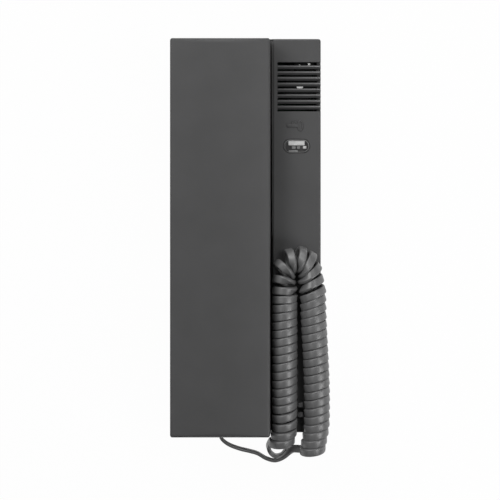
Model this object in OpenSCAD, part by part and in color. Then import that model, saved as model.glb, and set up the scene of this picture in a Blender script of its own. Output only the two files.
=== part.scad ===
// Wall-mounted audio door-entry phone: a plain slab handset lying on a base that has a louvred
// sounder grille, a clear door-release button and a curly cord laid over its button strip.
// Frame: origin at the centre of the wall face, +Z out of the wall, +Y towards the top of the phone.
// All sizes are in millimetres.

/* [Base] */
// Length of the base
base_l = 215.5; // [205:0.5:225]
// Width of the button strip beside the handset
strip_w = 26.5; // [25:0.5:32]
// Height of the button strip above the wall
strip_h = 27; // [25:0.5:32]
// Height of the cradle floor above the wall
cradle_h = 14; // [13:0.5:16]
// How far the handset overhangs the base on its free side
finger_overhang = 4; // [2:0.5:6]
// Wall thickness of the cover
cover_wall = 2.2; // [1.6:0.1:2.6]
// Radius of the cover's front edges
cover_edge_r = 1; // [0.5:0.1:1.5]
// Radius of the cover's corners, seen from the front
cover_corner_r = 1.5; // [0.6:0.1:3]
// Thickness of the back plate
plate_t = 2; // [1.5:0.1:2.5]

/* [Handset] */
// Length of the handset
handset_l = 216; // [206:0.5:226]
// Width of the handset at its foot
handset_w = 55.4; // [50:0.2:62]
// Thickness of the handset from its pads to the crown of its front
handset_h = 31.7; // [29:0.1:36]
// Thickness of the handset at the grip
grip_t = 20; // [17:0.5:22]
// Length of the pad at each end of the handset
pad_l = 58; // [54:0.5:64]
// Length of the ramp between a pad and the grip
ramp_l = 10; // [6:0.5:16]
// Rise of the front's crown across the width
crown = 1.2; // [0.4:0.1:2.5]
// Lean of the side wall next to the strip
right_draft = 0.8; // [0.5:0.1:3.5]
// Lean of the free side wall
left_draft = 0.5; // [0.2:0.1:2]
// Radius of the front edge at the two ends
end_edge_r = 2; // [1:0.1:3]
// Radius of the front edge along the sides
side_edge_r = 0.8; // [0.4:0.1:2]
// Wall thickness of the handset
handset_wall = 2.2; // [1.6:0.1:2.8]
// Depth of the front shell below the crown
shell_depth = 16; // [12:0.5:18]
// Radius of the handset's corners, seen from the front
handset_corner_r = 1.4; // [0.5:0.1:2.5]
// Step from the base's top end down to the handset's top end
handset_drop = 1; // [0:0.5:3]

/* [Ear and mouth pieces] */
// Radius of the ear and mouth caps
cap_r = 18; // [16:0.5:18.5]
// How far the caps stand out of the pads
cap_h = 3; // [1.5:0.1:3.2]
// Distance from each end of the handset to the centre of its cap
cap_inset = 32; // [27:0.5:35]
// Radius of the receiver capsule
earpiece_r = 15; // [12:0.5:18]
// Height of the receiver capsule
earpiece_h = 9; // [6:0.5:12]
// Radius of the microphone capsule
mic_r = 4.85; // [3:0.05:6]
// Height of the microphone capsule
mic_h = 6.7; // [4:0.1:8]
// Length of the ballast weight
weight_l = 52; // [30:1:58]
// Width of the ballast weight
weight_w = 18; // [10:0.5:24]
// Thickness of the ballast weight
weight_t = 6; // [3:0.5:8]

/* [Grille] */
// Number of louvres
louvre_count = 9; // [5:1:9]
// Distance from one louvre to the next
louvre_pitch = 3.15; // [2.9:0.01:3.3]
// Width of the slot at the bottom of each louvre
louvre_gap = 1.1; // [0.6:0.05:1.2]
// Width of the sloping face of each louvre
louvre_slope_w = 1.7; // [0.8:0.1:1.9]
// How much taller the first slot is, which has no sloping face
first_slot_rise = 0.6; // [0.2:0.1:1]
// Chamfer on the near edge of each slot
louvre_edge = 0.25; // [0.1:0.05:0.4]
// Lip left at the bottom of each sloping face
louvre_lip = 0.6; // [0.4:0.1:0.9]
// Distance from the top of the base to the first slot
grille_inset = 13.9; // [10:0.1:15]
// Distance from the strip's inner edge to the slots
grille_margin = 2.8; // [2.6:0.1:6]
// How far the slots run down the outer side
grille_wrap = 4; // [3:0.5:6]
// Radius of the call sounder
sounder_r = 8.8; // [7:0.1:9.6]
// Height of the call sounder
sounder_h = 7; // [5:0.5:8]

/* [Door button] */
// Length of the button lens
button_l = 14; // [12:0.1:16]
// Width of the button lens
button_w = 7; // [6.5:0.1:9]
// Gap round the button lens
button_gap = 0.35; // [0.3:0.05:0.6]
// How far the lens stands proud of the strip
button_proud = 0.8; // [0.3:0.1:1.5]
// Travel of the button
button_travel = 1.5; // [0.8:0.1:2]
// Distance from the top of the base to the middle of the button
button_inset = 58.7; // [56:0.1:64]

/* [Hook switch] */
// Radius of the hook plunger's stem
plunger_r = 2.5; // [2:0.1:3]
// Travel of the hook plunger
plunger_travel = 2; // [1.2:0.1:2]
// Distance from the top of the base to the hook plunger
plunger_inset = 53.5; // [53.5:0.5:60]

/* [Wall fixing] */
// Distance between the two wall screws
wall_screw_pitch = 83.5; // [60:0.5:90]
// Radius of the wall screw holes
wall_hole_r = 2.2; // [1.8:0.1:2.6]
// Width of the cable entry
cable_w = 24; // [16:1:28]
// Length of the cable entry
cable_l = 24; // [16:1:30]

/* [Curly cord] */
// Width of the flat cord
band_w = 3.8; // [3.2:0.1:4]
// Thickness of the flat cord
band_t = 2.2; // [1.6:0.1:2.3]
// Radius from the coil's axis to the middle of the cord
coil_r = 5.75; // [5.5:0.05:6]
// Rise of one curl
coil_pitch = 4.5; // [4.4:0.05:4.8]
// Curls in the leg beside the handset
left_turns = 19; // [12:1:19]
// Curls in the outer leg
right_turns = 20.5; // [12.5:1:20.5]

/* [Hidden] */
$fn = 48;

// Clearances
seat_gap = 0.3;
slip_gap = 0.1;
running_gap = 0.05;
handset_gap = 0.6;
well_gap = 1.2;
over = 1;

// Places across the phone
unit_w = handset_w + handset_gap + strip_w;
handset_x0 = -unit_w / 2;
handset_x1 = handset_x0 + handset_w;
handset_mid_x = (handset_x0 + handset_x1) / 2;
strip_x0 = handset_x1 + handset_gap;
strip_x1 = unit_w / 2;
strip_mid_x = (strip_x0 + strip_x1) / 2;
base_x0 = handset_x0 + finger_overhang;

// Places along the phone
unit_l = max(base_l, handset_l + handset_drop);
base_y1 = unit_l / 2;
base_y0 = base_y1 - base_l;
handset_y1 = base_y1 - handset_drop;
handset_y0 = handset_y1 - handset_l;
ear_y = handset_y1 - cap_inset;
mouth_y = handset_y0 + cap_inset;
button_y = base_y1 - button_inset;
plunger_y = base_y1 - plunger_inset;

// Heights above the wall
pad_z = cradle_h + seat_gap;
front_z = pad_z + handset_h;
grip_z = front_z - grip_t;
split_z = front_z - shell_depth;
grip_floor_z = grip_z + handset_wall;
cap_z = pad_z - cap_h;
well_z = cap_z - seat_gap - 0.2;
spigot_h = handset_wall;
spigot_z = pad_z + spigot_h;
cover_under_z = strip_h - cover_wall;
cradle_under_z = cradle_h - cover_wall;

// Inside of the base
inner_x0 = base_x0 + cover_wall;
inner_x1 = strip_x1 - cover_wall;
inner_y0 = base_y0 + cover_wall;
inner_y1 = base_y1 - cover_wall;
board_t = 1.6;
board_lift = 2;
board_z = plate_t + board_lift;
board_top_z = board_z + board_t;
board_x0 = strip_x0 - 14;
board_x1 = inner_x1 - 1.3;
board_y0 = button_y - 20;
board_y1 = inner_y1 - 2.3;
board_pin_r = 1;
board_boss_r = 2.5;
board_edge = 4;

// Sounder and terminals
sounder_x = inner_x1 - seat_gap - slip_gap - sounder_r;
sounder_shift = 0.6;
sounder_y = base_y1 - grille_inset - 4 * louvre_pitch + sounder_shift;
sounder_top_z = cover_under_z - 0.6;
sounder_z = sounder_top_z - sounder_h;
sounder_wall = 1;
sounder_hole_r = 1.8;
sounder_chamfer = 0.6;
disc_t = 0.3;
holder_r = 6.5;
holder_wall = 1.5;
terminal_ways = 2;
terminal_pitch = 5.08;
terminal_stagger = 0.8;
terminal_d = 4;
terminal_gap = 0.8;
terminal_h = cover_under_z - terminal_gap - board_top_z;
terminal_wall = 1.2;
terminal_floor = 2.4;
terminal_pin_r = 0.65;
wire_entry_h = 2.6;
terminal_x = inner_x1 - 4.2;
terminal_y = base_y1 - grille_inset + 0.15;
terminal_screw_r = 1.2;
terminal_screw_h = 4;
terminal_shank_r = 0.9;

// Door button
button_shoulder = 1.5;
button_flange_t = 1.2;
lens_wall = 0.5;
lens_t = 1.4;
flange_top_z = cover_under_z - seat_gap;
flange_z = flange_top_z - button_flange_t;
lens_top_z = strip_h + button_proud;
lens_cavity_z = lens_top_z - lens_t;
carrier_t = 1.5;
carrier_z = flange_z - carrier_t;
stem_r = 2;
switch_w = 6;
switch_h = 3.5;
switch_pip_r = 1.75;
switch_pip_h = 1;
switch_top_z = board_top_z + switch_h + switch_pip_h;
stem_z = switch_top_z + button_travel + seat_gap;
insert_l = button_l - 5.1;
insert_w = 2.4;
insert_h = lens_cavity_z - flange_z - 0.5;
insert_y = button_y + button_w / 2 - lens_wall - slip_gap - insert_w / 2;
led_r = 1.5;
led_h = 5;
led_offset = 5.5;

// Hook switch
plunger_x = strip_x0 - 8;
plunger_flange_r = 5.5;
plunger_flange_t = 1.2;
plunger_flange_z = cradle_under_z - plunger_travel - 0.2 - plunger_flange_t;
plunger_top_z = cradle_h;
hook_switch_w = 5;
hook_pip_r = 1.5;
hook_pip_h = 0.6;
hook_switch_h = plunger_flange_z - seat_gap + 0.1 - hook_pip_h - board_top_z;
spring_wire = 0.6;
spring_r = 4.6;
spring_turns = 2;

// Fasteners
screw_r = 1.5;
screw_head_r = 2.8;
screw_head_h = 1.3;
post_r = 3.6;
pilot_gap = 0.05;
handset_screw_y = weight_l / 2 + 6;
handset_screw_l = 12;
cover_screw_l = 9;
cover_screw_x = handset_mid_x + 18;
cover_screw_z = plate_t + 4;
screw_block = 9;
lug_w = 10;
lug_h = 3;
lug_reach = 1;
lug_root = 1.9;
ledge_w = 1;
ledge_t = 1.2;

// Cord glands
gland_r = 2.9;
gland_flange_r = 4.2;
gland_flange_t = 1;
gland_nose_r = 2.6;
gland_nose = 1.5;
base_gland_x = 23.5;
base_gland_z = 9;
handset_gland_x = -13.5;
handset_gland_z = 24;

// Capsules of the handset
spigot_step = 2;
sound_hole_r = 1.2;
sound_row_step = 4.5;
gasket_t = 1;
gasket_w = 3;
boot_wall = 2;
boot_floor = 1.5;
boot_hole_r = 1.5;

// Two raised bars on the strip between the legs of the curly cord
rib_l = 2.6;
rib_w = 2.6;
rib_h = 6;
rib_x = strip_x0 + 15.3;
rib_inset = 10.1;
rib_step = 5.3;
rib_ys = [base_y0 + rib_inset, base_y0 + rib_inset + rib_step];

// Curly cord: the legs stand on the strip and the bend runs round a narrow inner hairpin
rings_per_turn = 8;
bend_turns = 6;
total_turns = left_turns + bend_turns + right_turns;
cord_seat = 0.3;
leg_overhang = 0.25;
coil_outer_r = coil_r + band_t / 2;
coil_z = strip_h + cord_seat + coil_outer_r;
left_leg_x = strip_x0 - leg_overhang + coil_outer_r;
leg_spread = 15.35;
right_leg_x = left_leg_x + leg_spread;
bend_mid_x = left_leg_x + leg_spread / 2;
bend_y = -25.7;
bend_lift = 0.4;
bend_shift = 1;
hairpin_r = 3;
hairpin_pitch = 3.6;
hairpin_l = bend_turns * hairpin_pitch;
hairpin_arc = PI * hairpin_r;
hairpin_run = (hairpin_l - hairpin_arc) / 2;
inner_roll = 90;
roll_power = 2;

// Tips of the bend's curls, from the middle between the legs; the first and last points lie on the legs
crown_tips = [
    [-13.4, -3.2], [-13.2, 2.8], [-12.2, 11.7], [-5.6, 18.3], [2, 19.35],
    [7.7, 16.4], [10.8, 9.9], [12.3, 3.3], [13.4, -2.4]
];

// How the curls of the legs lean beside the bend, tilt forward and stray from a straight line
left_lean = 1.6;
right_lean = 2.4;
left_lean_turns = 9;
right_lean_turns = 14;
tilt_at_bend = 6;
tilt_at_ends = 14;
leg_bow = 2.3;
bow_turns = 29;
swing_in = 1.6;
swing_turns = 3.5;
slack = 1.5;
slack_turns = 3.5;
tight_turns = 14.5;

// Free ends of the cord, from each gland to the foot of the coil; the first and last points give directions
end_lead = 4;
tail_steps = 2;
gland_lead = [0, 3, 0];
base_exit = [base_gland_x, base_y0 - gland_flange_t - gland_nose, base_gland_z];
handset_exit = [handset_gland_x, handset_y0 - gland_flange_t - seat_gap, handset_gland_z];
coil_start = strand(0) - strand_dir(0) * end_lead;
coil_end = strand(total_turns) + strand_dir(total_turns) * end_lead;
base_route = [
    base_exit + gland_lead, base_exit, [23.5, -113, 9], [22.9, -117.1, 9.2], [20.8, -120.3, 10],
    [17.4, -121.3, 11.6], [14.5, -119.6, 14.6], [13, -117, 18.4], [12.8, -114.6, 22.4], coil_start, strand(0)
];
handset_route = [
    strand(total_turns), coil_end, [26.4, -116.1, 24.6], [24.2, -117.6, 22.2], [20.8, -121, 20.6],
    [16.3, -122.9, 19.8], [11.4, -121.7, 19.4], [6.9, -119.1, 19.6], [2.5, -117.7, 20.2], [-3, -116.3, 21.4],
    [-8, -114.4, 22.8], [-11.4, -112.3, 23.6], handset_exit, handset_exit + gland_lead
];

// Plain outlines

function arc(cx, cy, r, from, to, steps = 6) =
    [for (k = [0:steps]) let (a = from + (to - from) * k / steps) [cx + r * cos(a), cy + r * sin(a)]];

function rounded_rect(x0, y0, x1, y1, r, steps = 6) = concat(
    arc(x1 - r, y1 - r, r, 0, 90, steps), arc(x0 + r, y1 - r, r, 90, 180, steps),
    arc(x0 + r, y0 + r, r, 180, 270, steps), arc(x1 - r, y0 + r, r, 270, 360, steps));

// A long hole with round ends, centred on x, y
function stadium(x, y, l, w) = rounded_rect(x - l / 2, y - w / 2, x + l / 2, y + w / 2, w / 2 - 0.01, 10);

module along_y(y0, y1) translate([0, y1, 0]) rotate([90, 0, 0]) linear_extrude(y1 - y0) children();

module along_x(x0, x1) translate([x0, 0, 0]) rotate([90, 0, 90]) linear_extrude(x1 - x0) children();

module block(x0, y0, z0, x1, y1, z1) translate([x0, y0, z0]) cube([x1 - x0, y1 - y0, z1 - z0]);

// Base

// Stepped outline of the base across its width, moved in by one wall for the inside
function cover_section(inset) = let (
    low = inset > 0 ? -over : 0,
    r = max(cover_edge_r - inset, 0.2),
    x0 = base_x0 + inset, xs = strip_x0 + inset, x1 = strip_x1 - inset,
    zc = cradle_h - inset, zs = strip_h - inset
) concat(
    [[x0, low], [x1, low]],
    arc(x1 - r, zs - r, r, 0, 90), arc(xs + r, zs - r, r, 90, 180),
    [[xs, zc]], arc(x0 + r, zc - r, r, 90, 180));

// Rounded front edges at the two ends of the strip
function cover_profile() = let (r = cover_edge_r) concat(
    [[base_y0, 0], [base_y1, 0]],
    arc(base_y1 - r, strip_h - r, r, 0, 90), arc(base_y0 + r, strip_h - r, r, 90, 180));

module cover_shell() {
    difference() {
        intersection() {
            along_y(base_y0, base_y1) polygon(cover_section(0));
            along_x(base_x0 - over, strip_x1 + over) polygon(cover_profile());
            linear_extrude(strip_h + over)
                polygon(rounded_rect(base_x0, base_y0, strip_x1, base_y1, cover_corner_r));
        }
        along_y(inner_y0, inner_y1) polygon(cover_section(cover_wall));
    }
}

// Wells that take the handset's caps
module well_cups() {
    for (y = [ear_y, mouth_y])
        translate([handset_mid_x, y, well_z - cover_wall])
            cylinder(r = cap_r + well_gap + cover_wall, h = cradle_h - well_z + cover_wall - 0.5);
}

module well_hollows() {
    for (y = [ear_y, mouth_y])
        translate([handset_mid_x, y, well_z]) cylinder(r = cap_r + well_gap, h = cradle_h);
}

// One louvre: a slot with a face that slopes down to it, and the slot's run down the side
module louvre_cut(near, foot, slope_w) {
    drop = cover_wall - louvre_lip;
    top = strip_h + over;
    low = cover_under_z - over / 2;
    along_x(strip_x0 + grille_margin, strip_x1 + over) polygon([
        [near, low], [near, strip_h - louvre_edge], [near - louvre_edge, strip_h], [near - louvre_edge, top],
        [foot + slope_w, top], [foot + slope_w, strip_h], [foot, strip_h - drop], [foot, low]]);
    block(inner_x1 - over / 2, near, strip_h - grille_wrap, strip_x1 + over, foot, top);
}

module grille_cuts() {
    for (k = [0:louvre_count - 1]) {
        y = base_y1 - grille_inset - k * louvre_pitch;
        near = y - louvre_gap / 2;
        foot = y + louvre_gap / 2;
        if (k == 0) louvre_cut(near, foot + first_slot_rise, 0);
        else louvre_cut(near, foot, louvre_slope_w);
    }
}

// Ledges along the long sides that stop the back plate and close the gap beside it
module plate_ledges() {
    for (x = [inner_x0 - slip_gap, inner_x1 - ledge_w])
        block(x, inner_y0 - slip_gap, plate_t + seat_gap,
            x + ledge_w + slip_gap, inner_y1 + slip_gap, plate_t + seat_gap + ledge_t);
}

module lug_places() {
    for (x = [inner_x0 + 14, inner_x1 - 14]) translate([x, 0, 0]) children();
}

module front_cover() color("dimgray") {
    difference() {
        union() {
            cover_shell();
            well_cups();
            plate_ledges();
            for (y = rib_ys) block(rib_x - rib_l / 2, y - rib_w / 2, strip_h - slip_gap,
                rib_x + rib_l / 2, y + rib_w / 2, strip_h + rib_h);
        }
        well_hollows();
        grille_cuts();
        translate([0, 0, cover_under_z - 0.5]) linear_extrude(cover_wall + over)
            polygon(stadium(strip_mid_x, button_y, button_l + 2 * button_gap, button_w + 2 * button_gap));
        translate([plunger_x, plunger_y, cradle_under_z - over])
            cylinder(r = plunger_r + running_gap, h = cover_wall + 2 * over);
        translate([base_gland_x, inner_y0 + over, base_gland_z]) rotate([90, 0, 0])
            cylinder(r = gland_r + slip_gap, h = cover_wall + 2 * over);
        translate([cover_screw_x, inner_y0 + over, cover_screw_z]) rotate([90, 0, 0])
            cylinder(r = screw_r + slip_gap, h = cover_wall + 2 * over);
        lug_places()
            block(-lug_w / 2 - seat_gap, inner_y1 - over, plate_t - seat_gap,
                lug_w / 2 + seat_gap, inner_y1 + lug_reach + seat_gap, plate_t + lug_h + seat_gap);
    }
}

module board_corners() {
    for (x = [board_x0 + board_edge, board_x1 - board_edge], y = [board_y0 + board_edge, board_y1 - board_edge])
        translate([x, y, 0]) children();
}

module back_plate() color("gray") {
    difference() {
        union() {
            linear_extrude(plate_t) polygon(rounded_rect(inner_x0 + seat_gap, inner_y0 + seat_gap,
                inner_x1 - seat_gap, inner_y1 - seat_gap, cover_corner_r));
            board_corners() cylinder(r = board_boss_r, h = board_z);
            board_corners() cylinder(r = board_pin_r, h = board_top_z - slip_gap);
            lug_places()
                block(-lug_w / 2, inner_y1 - lug_root, plate_t - over,
                    lug_w / 2, inner_y1 - seat_gap, plate_t + lug_h);
            lug_places()
                block(-lug_w / 2, inner_y1 - lug_root, plate_t,
                    lug_w / 2, inner_y1 + lug_reach, plate_t + lug_h);
            translate([cover_screw_x, inner_y0 + seat_gap + screw_block / 2, 0])
                block(-screw_block / 2, -screw_block / 2, 0, screw_block / 2, screw_block / 2,
                    cover_screw_z + screw_block / 2 - 1);
        }
        for (y = [-wall_screw_pitch / 2, wall_screw_pitch / 2])
            translate([handset_mid_x, y, -over]) cylinder(r = wall_hole_r, h = plate_t + 2 * over);
        linear_extrude(3 * (plate_t + over), center = true) polygon(rounded_rect(
            handset_mid_x - cable_w / 2, -cable_l / 2, handset_mid_x + cable_w / 2, cable_l / 2, 2));
        translate([cover_screw_x, inner_y0 + cover_screw_l, cover_screw_z]) rotate([90, 0, 0])
            cylinder(r = screw_r + pilot_gap, h = cover_screw_l);
    }
}

// A round-headed screw with its head below z = 0 and its shank along +Z
module screw(shank) {
    rotate_extrude() polygon([[0, -screw_head_h], [screw_head_r * 0.7, -screw_head_h], [screw_head_r, -0.4],
        [screw_head_r, 0], [screw_r, 0], [screw_r, shank - 1], [0.4, shank], [0, shank]]);
}

module cover_screw() color("silver")
    translate([cover_screw_x, base_y0, cover_screw_z]) rotate([-90, 0, 0]) screw(cover_screw_l);

module circuit_board() color("darkgreen") {
    difference() {
        block(board_x0, board_y0, board_z, board_x1, board_y1, board_top_z);
        board_corners() translate([0, 0, board_z - over])
            cylinder(r = board_pin_r + slip_gap, h = board_t + 2 * over);
    }
}

module terminal_places() {
    for (k = [0:terminal_ways - 1])
        translate([terminal_x - k * terminal_pitch, terminal_y - k * terminal_stagger, board_top_z]) children();
}

// Clamps with a wire entry at the back and a small hole for each screw's pin
module terminal_block() color("seagreen") {
    half = terminal_pitch / 2;
    difference() {
        terminal_places() block(-half, -terminal_d / 2, 0, half, terminal_d / 2, terminal_h);
        terminal_places() translate([0, 0, terminal_floor])
            cylinder(r = terminal_screw_r + slip_gap, h = terminal_h - terminal_wall - terminal_floor);
        terminal_places() translate([0, 0, terminal_floor])
            cylinder(r = terminal_pin_r + slip_gap, h = terminal_h);
        terminal_places() block(-half + terminal_wall, 0, terminal_floor,
            half - terminal_wall, terminal_d, terminal_floor + wire_entry_h);
    }
}

module terminal_screws() color("lightgray") {
    head_z = terminal_h - terminal_wall - slip_gap;
    neck_z = head_z - terminal_screw_h;
    terminal_places() rotate_extrude() polygon([
        [0, terminal_floor], [terminal_shank_r, terminal_floor], [terminal_shank_r, neck_z],
        [terminal_screw_r, neck_z], [terminal_screw_r, head_z], [terminal_pin_r, head_z],
        [terminal_pin_r, terminal_h], [0, terminal_h]]);
}

module sounder_holder() color("black") {
    translate([sounder_x, sounder_y, 0]) rotate_extrude() polygon([
        [holder_r - holder_wall, board_top_z], [holder_r, board_top_z], [holder_r, sounder_z],
        [holder_r - holder_wall, sounder_z]]);
}

// A black capsule with one sound hole in the middle of its face
module call_sounder() color("black") {
    translate([sounder_x, sounder_y, sounder_z]) rotate_extrude() polygon([
        [0, 0], [sounder_r, 0], [sounder_r, sounder_h - sounder_chamfer],
        [sounder_r - sounder_chamfer, sounder_h],
        [sounder_hole_r, sounder_h], [sounder_hole_r, sounder_h - sounder_wall],
        [sounder_r - sounder_wall, sounder_h - sounder_wall], [sounder_r - sounder_wall, sounder_wall],
        [0, sounder_wall]]);
}

module sounder_disc() color("gold") {
    translate([sounder_x, sounder_y, sounder_top_z - sounder_wall - disc_t])
        cylinder(r = sounder_r - sounder_wall - slip_gap, h = disc_t);
}

module hook_switch() color("black") {
    translate([plunger_x, plunger_y, board_top_z]) {
        block(-hook_switch_w / 2, -hook_switch_w / 2, 0, hook_switch_w / 2, hook_switch_w / 2, hook_switch_h);
        cylinder(r = hook_pip_r, h = hook_switch_h + hook_pip_h);
    }
}

module hook_plunger() color("dimgray") {
    translate([plunger_x, plunger_y, 0]) rotate_extrude() polygon(concat(
        [[0, plunger_flange_z], [plunger_flange_r, plunger_flange_z],
            [plunger_flange_r, plunger_flange_z + plunger_flange_t],
            [plunger_r, plunger_flange_z + plunger_flange_t]],
        arc(plunger_r - 0.8, plunger_top_z - 0.8, 0.8, 0, 90), [[0, plunger_top_z]]));
}

module door_switch() color("black") {
    translate([strip_mid_x, button_y, board_top_z]) {
        block(-switch_w / 2, -switch_w / 2, 0, switch_w / 2, switch_w / 2, switch_h);
        cylinder(r = switch_pip_r, h = switch_h + switch_pip_h);
    }
}

module door_led() color("whitesmoke") {
    translate([strip_mid_x + led_offset, button_y, board_top_z]) rotate_extrude() polygon(concat(
        [[0, 0], [led_r + 0.4, 0], [led_r + 0.4, 0.8], [led_r, 0.8]],
        arc(0, led_h - led_r, led_r, 0, 90)));
}

// Plate under the lens with the stem that works the switch
module button_carrier() color("black") {
    translate([0, 0, carrier_z]) linear_extrude(carrier_t)
        polygon(stadium(strip_mid_x, button_y, button_l + 2 * button_shoulder, button_w + 2 * button_shoulder));
    translate([strip_mid_x, button_y, stem_z]) cylinder(r = stem_r, h = carrier_z - stem_z + 0.2);
}

// Pale reflector bar that shows through the lens, trimmed to the lens's round ends
module button_insert() color("white") {
    low = insert_y - insert_w / 2;
    room = 2 * (lens_wall + slip_gap);
    intersection() {
        block(strip_mid_x - insert_l / 2, low, flange_z,
            strip_mid_x + insert_l / 2, low + insert_w, flange_z + insert_h);
        translate([0, 0, flange_z - over]) linear_extrude(insert_h + 2 * over)
            polygon(stadium(strip_mid_x, button_y, button_l - room, button_w - room));
    }
}

module door_button() color("lightgray", 0.6) {
    difference() {
        union() {
            translate([0, 0, flange_z]) linear_extrude(button_flange_t) polygon(stadium(strip_mid_x, button_y,
                button_l + 2 * button_shoulder, button_w + 2 * button_shoulder));
            translate([0, 0, flange_z]) linear_extrude(lens_top_z - flange_z)
                polygon(stadium(strip_mid_x, button_y, button_l, button_w));
        }
        translate([0, 0, flange_z - over]) linear_extrude(lens_cavity_z - flange_z + over)
            polygon(stadium(strip_mid_x, button_y, button_l - 2 * lens_wall, button_w - 2 * lens_wall));
    }
}

// A cord gland along +Z, with its flange outside the wall and its nose towards -Z
module gland(wall, nose) {
    rotate_extrude() polygon([
        [0, -gland_flange_t - nose], [gland_nose_r, -gland_flange_t - nose],
        [gland_flange_r - 0.6, -gland_flange_t], [gland_flange_r, -gland_flange_t + 0.3], [gland_flange_r, 0],
        [gland_r, 0], [gland_r, wall], [gland_flange_r, wall],
        [gland_flange_r, wall + gland_flange_t], [0, wall + gland_flange_t]]);
}

module base_grommet() color("dimgray")
    translate([base_gland_x, base_y0, base_gland_z]) rotate([-90, 0, 0]) gland(cover_wall, gland_nose);

// Handset

// Cross-section of the handset with its leaning walls and crowned front
function handset_section(inset) = let (
    x0 = handset_x0 + inset, x1 = handset_x1 - inset,
    xa = x0 + left_draft, xb = x1 - right_draft,
    z = front_z - crown - inset,
    r = max(side_edge_r - inset, 0.3),
    steps = 16
) concat(
    [[x0, pad_z - over], [x1, pad_z - over], [x1, pad_z]],
    arc(xb - r, z - r, r, 0, 60, 3),
    [for (k = [0:steps]) let (s = k / steps)
        [xb - r + (xa + r - (xb - r)) * s, z + crown * (1 - pow(2 * s - 1, 2))]],
    arc(xa + r, z - r, r, 120, 180, 3), [[x0, pad_z]]);

// Side view of the handset with its two pads, the ramps and the raised grip
function handset_profile(inset) = let (
    y0 = handset_y0 + inset, y1 = handset_y1 - inset,
    turn = inset * tan(atan2(grip_z - pad_z, ramp_l) / 2),
    r = max(end_edge_r - inset, 0.3),
    top = front_z - inset,
    p0 = handset_y0 + pad_l - turn, p1 = handset_y1 - pad_l + turn
) concat(
    [[y0, pad_z + inset], [p0, pad_z + inset], [p0 + ramp_l, grip_z + inset],
        [p1 - ramp_l, grip_z + inset], [p1, pad_z + inset], [y1, pad_z + inset]],
    arc(y1 - r, top - r, r, 0, 90), arc(y0 + r, top - r, r, 90, 180));

// Upright prism with rounded corners on one side wall, leaning with that wall
module leaning_corners(x, lean, reach) {
    outline = rounded_rect(min(reach, 0), handset_y0, max(reach, 0), handset_y1, handset_corner_r);
    translate([x, 0, pad_z]) rotate([0, lean, 0]) translate([0, 0, -2 * over])
        linear_extrude(handset_h + 4 * over) polygon(outline);
}

module handset_corners() {
    rise = handset_h - crown - side_edge_r;
    intersection() {
        leaning_corners(handset_x0, atan2(left_draft, rise), 2 * handset_w);
        leaning_corners(handset_x1, -atan2(right_draft, rise), -2 * handset_w);
    }
}

module handset_form(inset) {
    intersection() {
        along_y(handset_y0 - over, handset_y1 + over) polygon(handset_section(inset));
        along_x(handset_x0 - over, handset_x1 + over) polygon(handset_profile(inset));
    }
}

module slab(z0, z1) block(handset_x0 - over, handset_y0 - over, z0, handset_x1 + over, handset_y1 + over, z1);

module handset_screw_places() {
    for (y = [-handset_screw_y, handset_screw_y])
        translate([handset_mid_x, (handset_y0 + handset_y1) / 2 + y, grip_z]) children();
}

module handset_shell() color("dimgray") {
    difference() {
        union() {
            difference() {
                intersection() {
                    handset_form(0);
                    handset_corners();
                    slab(split_z, front_z + over);
                }
                handset_form(handset_wall);
            }
            handset_screw_places() translate([0, 0, handset_wall])
                cylinder(r = post_r, h = front_z - handset_wall / 2 - grip_floor_z);
        }
        handset_screw_places() translate([0, 0, -over])
            cylinder(r = screw_r + pilot_gap, h = handset_screw_l + 3 * over);
    }
}

module handset_back() color("dimgray") {
    difference() {
        intersection() {
            handset_form(0);
            handset_corners();
            slab(pad_z - over, split_z);
        }
        handset_form(handset_wall);
        for (y = [ear_y, mouth_y]) translate([handset_mid_x, y, pad_z - over])
            cylinder(r = cap_r - spigot_step + slip_gap, h = spigot_h + 2 * over);
        handset_screw_places() {
            translate([0, 0, -over]) cylinder(r = screw_head_r + slip_gap, h = screw_head_h + over);
            cylinder(r = screw_r + slip_gap, h = handset_wall + over);
        }
        translate([handset_gland_x, handset_y0 + handset_wall + over, handset_gland_z]) rotate([90, 0, 0])
            cylinder(r = gland_r + slip_gap, h = handset_wall + 2 * over);
    }
}

module handset_screws() color("silver")
    handset_screw_places() translate([0, 0, screw_head_h]) screw(handset_screw_l);

module handset_weight() color("darkgray")
    translate([handset_mid_x, (handset_y0 + handset_y1) / 2, grip_floor_z])
        linear_extrude(weight_t)
            polygon(rounded_rect(-weight_w / 2, -weight_l / 2, weight_w / 2, weight_l / 2, 2));

// A round cap with rings of sound holes, seated in the pad by its spigot
module sound_cap(y, rows) {
    spigot_r = cap_r - spigot_step;
    through = cap_h + spigot_h + 2 * over;
    translate([handset_mid_x, y, cap_z]) difference() {
        rotate_extrude() polygon([[0, 0], [cap_r - 1, 0], [cap_r, 1], [cap_r, cap_h], [spigot_r, cap_h],
            [spigot_r, cap_h + spigot_h], [0, cap_h + spigot_h]]);
        translate([0, 0, -over]) cylinder(r = sound_hole_r, h = through);
        for (row = [1:rows], k = [0:6 * row - 1])
            rotate(60 / row * k) translate([row * sound_row_step, 0, -over])
                cylinder(r = sound_hole_r, h = through);
    }
}

module ear_cap() color("dimgray") sound_cap(ear_y, 2);

module mouth_cap() color("dimgray") sound_cap(mouth_y, 1);

module earpiece_gasket() color("black") {
    translate([handset_mid_x, ear_y, spigot_z]) difference() {
        cylinder(r = earpiece_r, h = gasket_t);
        translate([0, 0, -over]) cylinder(r = earpiece_r - gasket_w, h = gasket_t + 2 * over);
    }
}

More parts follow.
